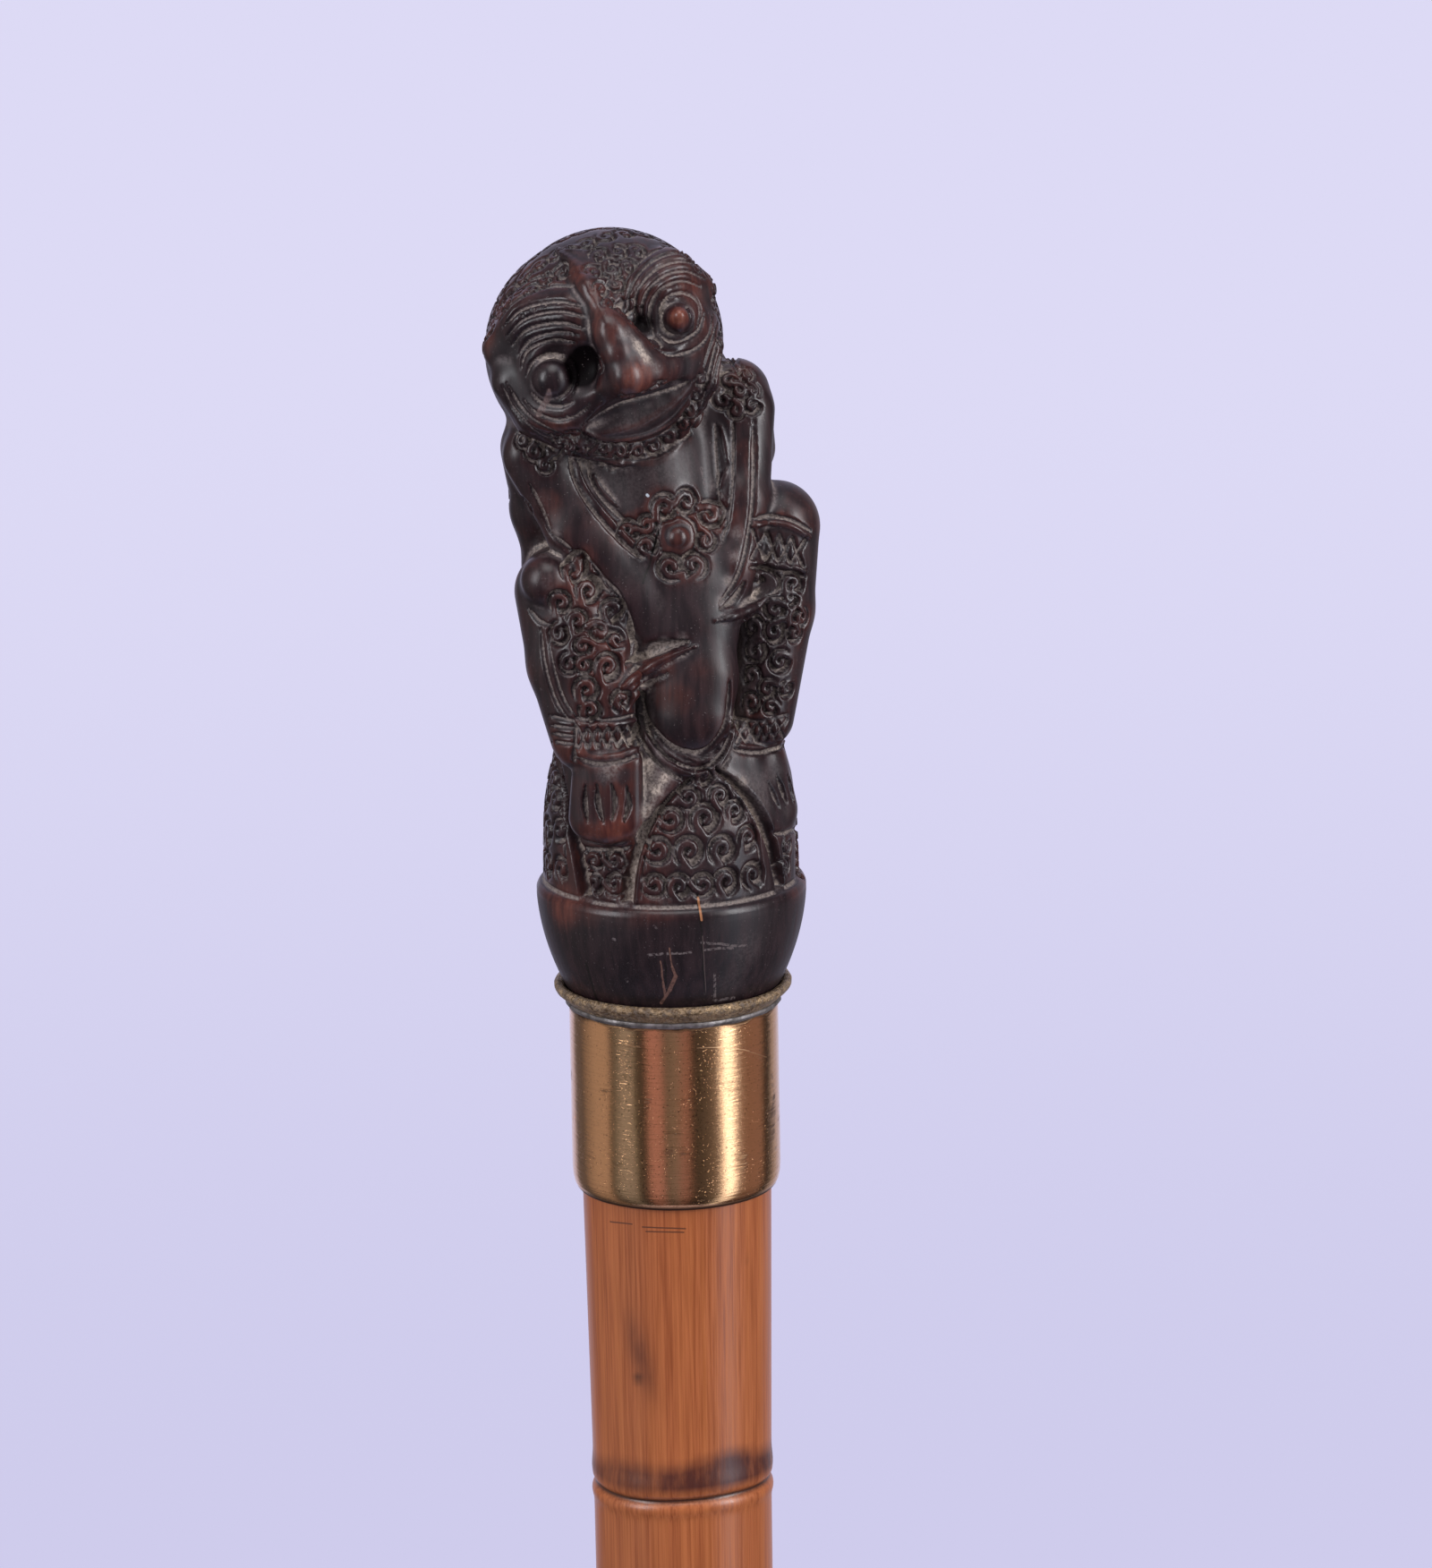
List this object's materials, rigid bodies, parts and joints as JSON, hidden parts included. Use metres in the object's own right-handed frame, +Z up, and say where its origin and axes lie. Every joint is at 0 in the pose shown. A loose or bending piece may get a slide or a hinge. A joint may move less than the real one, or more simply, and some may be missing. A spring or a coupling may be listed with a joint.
{
  "type": "carved walking stick",
  "caption": "Walking stick with a carved hardwood guardian figure as its handle, a brass collar, a tapered bamboo shaft and a brass and steel tip.",
  "frame": {"origin": "centre of the toe's ground face", "axes": "+Z up along the shaft towards the handle, -Y the side that the carved figure faces, +X to the figure's left, which is the right of someone who faces it"},
  "size_m": [0.0447, 0.0372, 0.8999],
  "materials": {
    "handle_wood": "dark carved hardwood, polished on the high spots, dusty in the hollows",
    "dowel_wood": "plain turned hardwood",
    "bamboo": "varnished bamboo with fine lengthwise fibres",
    "polished_brass": "polished, lightly scratched",
    "antique_brass": "dull, tarnished",
    "solder": "dull grey solder",
    "toe_steel": "worn steel"
  },
  "bodies": {
    "root": {"carved_handle": "handle_wood", "handle_dowel": "dowel_wood", "collar_rim": "antique_brass", "collar_solder_seam": "solder", "collar_sleeve": "polished_brass", "collar_pins": "polished_brass", "bamboo_shaft": "bamboo", "shaft_top_plug": "dowel_wood", "shaft_tip_plug": "dowel_wood", "tip_ferrule": "antique_brass", "tip_toe": "toe_steel", "ferrule_pins": "antique_brass"}
  },
  "joints": []
}
